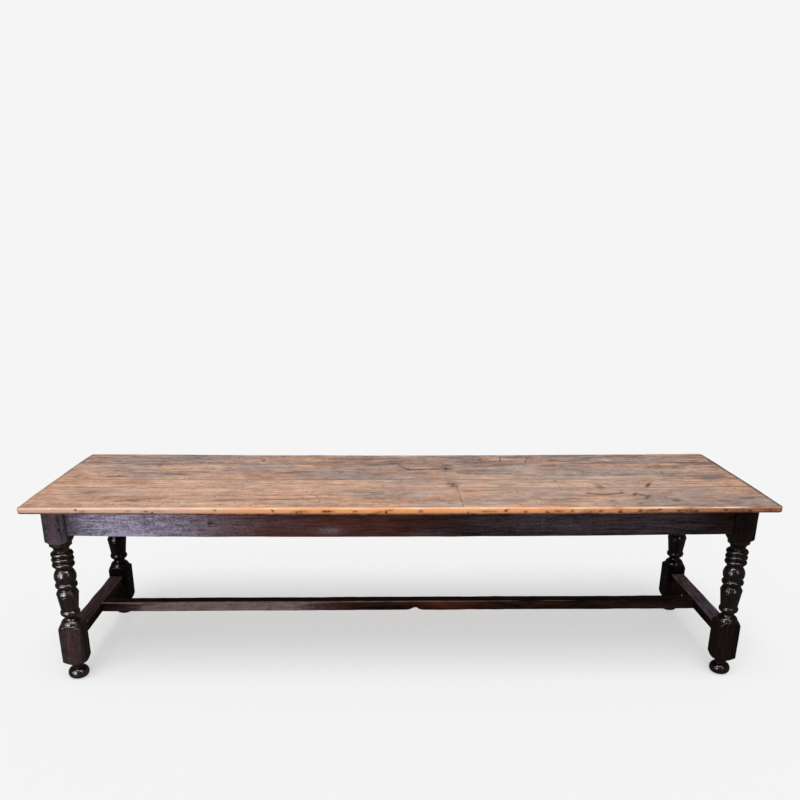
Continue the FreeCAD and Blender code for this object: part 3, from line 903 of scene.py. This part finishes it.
for node, name, seed, shift, along, ends, depth, kind, bend, marks in railTable:
    finish = darkWood(name + "Wood", along, shift, depth)
    chip = rail["chip"] if name == "centreStretcher" else None
    makeRail(node, name, finish, along, ends, rail[kind + "Radius"], seed, bend, chip, marks)
print("aprons, stretchers and bearers fitted")


# Legs: one turning, cut from a square post

leg = {
    # node, piece, side in x and y, seed, shift of the grain, depth of colour (painted light and shade: the
    # front left leg lightest, the others darker), gloss, redness, dust and painted sheen above and below
    # half a metre
    "legs": (("leg_front_left", "frontLeftLeg", -1, -1, 71, 1.7, 0.9, 1.0, 0.45, (0.11, 0.04)),
             ("leg_front_right", "frontRightLeg", 1, -1, 73, 4.1, 0.35, 0.65, 0.0, (0, 0)),
             ("leg_back_left", "backLeftLeg", -1, 1, 75, 6.9, 0.2, 0.4, 0.0, (0, 0)),
             ("leg_back_right", "backRightLeg", 1, 1, 77, 9.2, 0.3, 0.5, 0.1, (0, 0))),
    "half": 0.0425, "inset": 0.0001, "rowStep": 0.001, "blockStep": 0.005,
    "corner": 34, "unround": 0.00003,      # how square the post is, as a power, and how uneven the turning
    "meet": 0.0012, "leastMeet": 0.0001,   # how far they blend, on the shoulders and elsewhere
    # degrees of an eighth of the way round, crowded towards the post's arris
    "eighth": (0, 5, 10, 15, 20, 25, 30, 34, 38, 41, 43, 44.2),
    # millimetres from the floor up: height, radius, and the crown's radius where the member is an arc
    "members": (
        (0, 26), (45, 22, 40.5), (57, 22), (84, 61.5), (226, 61.5),
        (241, 41.5), (257, 32.5, 39), (278, 33, 24.3), (300, 33, 37.9), (362, 40.8),
        (364, 40.2), (374, 41.8, 42.4), (385, 36.5), (397, 36.5, 31.5), (417.5, 36.5, 42.3),
        (422.5, 36.5), (473.5, 30, 41.9), (484, 35), (503, 35, 42.3), (506, 35),
        (525, 35, 42.3), (528, 35), (547, 35, 42.3), (549, 29.5), (558, 29.5),
        (575, 42.3, 32.9), (586, 42.3), (601, 61.5), (730, 61.5)),
    "blockRadius": 60,   # a run wider than this lies in a square block
    # long split in the front left post: height and x of both ends, width
    "split": ((0.6, -1.2955), (0.713, -1.3095), 0.0016),
}


def legRows():
    # heights and radii up the turning: straight runs, and arcs that rise from their chord to a crown
    heights, radii = [np.array([0.0])], [np.array([leg["members"][0][1] / 1000])]
    for (z0, r0, *_), (z1, r1, *crown) in zip(leg["members"], leg["members"][1:]):
        step = leg["blockStep" if min(r0, r1) > leg["blockRadius"] else "rowStep"]
        t = np.linspace(0, 1, max(int(round((z1 - z0) / 1000 / step)), 2) + 1)[1:]
        radius = r0 + (r1 - r0) * t
        if crown:
            half, rise = (z1 - z0) / 2, crown[0] - (r0 + r1) / 2
            whole = (half * half + rise * rise) / (2 * abs(rise))
            off = (t - 0.5) * 2 * half
            swell = np.sqrt(whole ** 2 - off ** 2) - (whole - abs(rise))
            radius = radius + math.copysign(1, rise) * swell
        heights.append((z0 + (z1 - z0) * t) / 1000)
        radii.append(radius / 1000)
    return np.concatenate(heights), np.concatenate(radii)


def makeLeg(node, name, finish, centreX, centreY, seed, redness, dustAndSheenShare):
    # rows of points round the axis, each at the smaller of the turned radius and the post's
    heights, radii = legRows()
    eighth = np.array(leg["eighth"])
    quarter = np.concatenate([eighth, [45], 90 - eighth[:0:-1]])
    angles = np.radians(np.concatenate([quarter + 90 * k for k in range(4)]))
    angle, height = np.meshgrid(angles, heights, indexing="xy")
    turned = np.broadcast_to(radii[:, None], angle.shape)
    cosine, sine = np.cos(angle), np.sin(angle)
    around = (cosine.ravel(), sine.ravel(), height.ravel() * 6)
    # the post's radius is that of a square with rounded corners: a high power of cosine and sine
    power = leg["corner"] * (1 + 0.35 * waver(seed, around, 1.6).reshape(angle.shape))
    post = (leg["half"] - leg["inset"]) / (np.abs(cosine) ** power + np.abs(sine) ** power) ** (1 / power)
    # the smaller of the two is smooth where they meet, most on the shoulders
    steep = ease(0.6, 1.0, np.abs(np.gradient(radii, heights)))[:, None]
    meet = leg["meet"] * steep + leg["leastMeet"]
    mixing = np.clip(0.5 + 0.5 * (post - turned) / meet, 0, 1)
    radius = post * (1 - mixing) + turned * mixing - meet * mixing * (1 - mixing)
    radius = radius + leg["unround"] * waver(seed + 1, around, 1.6).reshape(angle.shape) * (turned < post)
    points = np.stack([centreX + radius * cosine, centreY + radius * sine, height], -1).reshape(-1, 3)
    rows, columns = angle.shape
    number = np.arange(rows * columns).reshape(rows, columns)
    after = np.roll(number, -1, axis=1)
    faces = np.stack([number[:-1], after[:-1], after[1:], number[1:]], -1).reshape(-1, 4)
    # sole and top closed by fans about their middles
    points = np.concatenate([points, [(centreX, centreY, 0), (centreX, centreY, heights[-1])]])
    sole, head = len(points) - 2, len(points) - 1
    caps = np.concatenate([
        np.stack([np.full(columns, sole), after[0], number[0]], 1),
        np.stack([np.full(columns, head), number[-1], after[-1]], 1)])
    # rubbed along the post's arrises, and where turning and post meet
    arris = ease(1.26, 1.37, post / leg["half"]) * (turned > post)
    meeting = np.exp(-((turned - post) / 0.0014) ** 2) * steep
    front = ease(0.3, 0.9, -sine) * (turned > post)
    marks = {
        "wear": np.clip(arris * 0.45 + meeting * 0.3, 0, 1),
        "red": np.exp(-((radius * cosine + 0.004) / 0.012) ** 2) * front * redness,
        # dust and painted sheen on the front faces, more above half a metre
        "dust": front * np.where(height > 0.5, *dustAndSheenShare),
        "polish": (1 - ease(-0.001, 0.006, turned - post)) * (1 - 0.6 * steep),
    }
    marks = {key: np.append(values.ravel(), (0, 0)) for key, values in marks.items()}
    polished.objects.link(makePiece(name, points, faces, finish, node, marks, caps))


legMiddle = (legInner + legOuter) / 2
for node, name, sideX, sideY, seed, shift, depth, gloss, redness, dustAndSheenShare in leg["legs"]:
    split = leg["split"] if name == "frontLeftLeg" else None
    finish = darkWood(name + "Wood", 2, shift, depth, gloss, split)
    makeLeg(node, name, finish, sideX * legMiddle[0], sideY * legMiddle[1], seed, redness, dustAndSheenShare)
print("legs turned")


# Pegs: riven square bars with rubbed heads

peg = {
    "frameWidth": 0.009, "topWidth": 0.01, "round": 0.0012, "proud": 0.0002, "leanest": 0.93,
    "apronLength": 0.045, "endLength": 0.07, "centreLength": 0.036, "topLength": 0.0517,
    "apronIn": 0.024, "apronHeights": (0.6475, 0.6875),   # from the post's inner face, and over the floor
    "endIn": 0.025, "endHeight": 0.175,
    "centreX": 1.322, "centreHeight": 0.197, "centreProud": 0.0006,
    # top pegs: rows over bearers and end aprons, a pair at each seam, then rows over the long aprons
    "rows": (-0.64, 0, 0.64, -1.343, 1.343), "seams": (-0.145, -0.02, 0.24), "besideSeam": 0.02,
    "apronRows": (-0.96, -0.32, 0.32, 0.96), "apronY": 0.328,
}


def makePegs(name, node, finish, starts, ways, length, width, seed):
    # one eased square bar from each start, all in one skin; ways is one direction, or one for each
    rng = np.random.default_rng(seed)
    length, width = peg[length], peg[width]
    side = lines(-width / 2, width / 2, width, peg["round"])[::2]
    run = lines(0, length, length, peg["round"])[::2]
    bar, cells = boxSkin(side, side, run)
    low, high = np.array([-width / 2, -width / 2, 0]), np.array([width / 2, width / 2, length])
    bar = roundEdges(bar, low, high, peg["round"])
    starts = np.array(starts, float)
    ways = np.broadcast_to(np.array(ways, float), starts.shape)
    helper = np.where(np.abs(ways[:, 2:]) > 0.5, (1.0, 0, 0), (0, 0, 1.0))
    sideways = np.cross(helper, ways)
    other = np.cross(ways, sideways)
    lean = rng.uniform(peg["leanest"], 1.0, (len(starts), 1, 1))
    points = (starts[:, None] + bar[None, :, :1] * sideways[:, None] * lean
              + bar[None, :, 1:2] * other[:, None] * lean + bar[None, :, 2:] * ways[:, None])
    faces = cells[None] + (np.arange(len(starts)) * len(bar))[:, None, None]
    makePiece(name, points.reshape(-1, 3), faces.reshape(-1, 4), finish, node)


framePegWood = pegWood("framePegWood", tint(20, 14, 12), tint(9, 7, 6))
topPegWood = pegWood("topPegWood", tint(150, 110, 86), tint(96, 66, 50))
corners = [(sideX, sideY) for sideX in (-1, 1) for sideY in (-1, 1)]

starts, ways = [], []
apronX, apronY = legInner + peg["apronIn"]
for sideX, sideY in corners:
    for z in peg["apronHeights"]:
        starts += [(sideX * apronX, sideY * legOuter[1], z), (sideX * legOuter[0], sideY * apronY, z)]
        ways += [(0, -sideY, 0), (-sideX, 0, 0)]
makePegs("apronPegs", "apron_pegs", framePegWood, starts, ways, "apronLength", "frameWidth", 81)

endY = legInner[1] + peg["endIn"]
starts = [(sideX * legInner[0], sideY * endY, peg["endHeight"]) for sideX, sideY in corners]
ways = [(sideX, 0, 0) for sideX, sideY in corners]
makePegs("endStretcherPegs", "end_stretcher_pegs", framePegWood, starts, ways, "endLength",
         "frameWidth", 83)

starts = [(sideX * peg["centreX"], 0, peg["centreHeight"] + peg["centreProud"]) for sideX in (-1, 1)]
makePegs("centreStretcherPegs", "centre_stretcher_pegs", framePegWood, starts, (0, 0, -1),
         "centreLength", "frameWidth", 85)

besides = (-peg["besideSeam"], peg["besideSeam"])
places = [(x, seam + beside) for x in peg["rows"] for seam in peg["seams"] for beside in besides]
places += [(x, side * peg["apronY"]) for side in (-1, 1) for x in peg["apronRows"]]
x, y = np.array(places).T
starts = np.column_stack([x, y, topLevel(x, y) + peg["proud"]])
makePegs("topPegs", "top_pegs", topPegWood, starts, (0, 0, -1), "topLength", "topWidth", 87)
print("pegs driven")
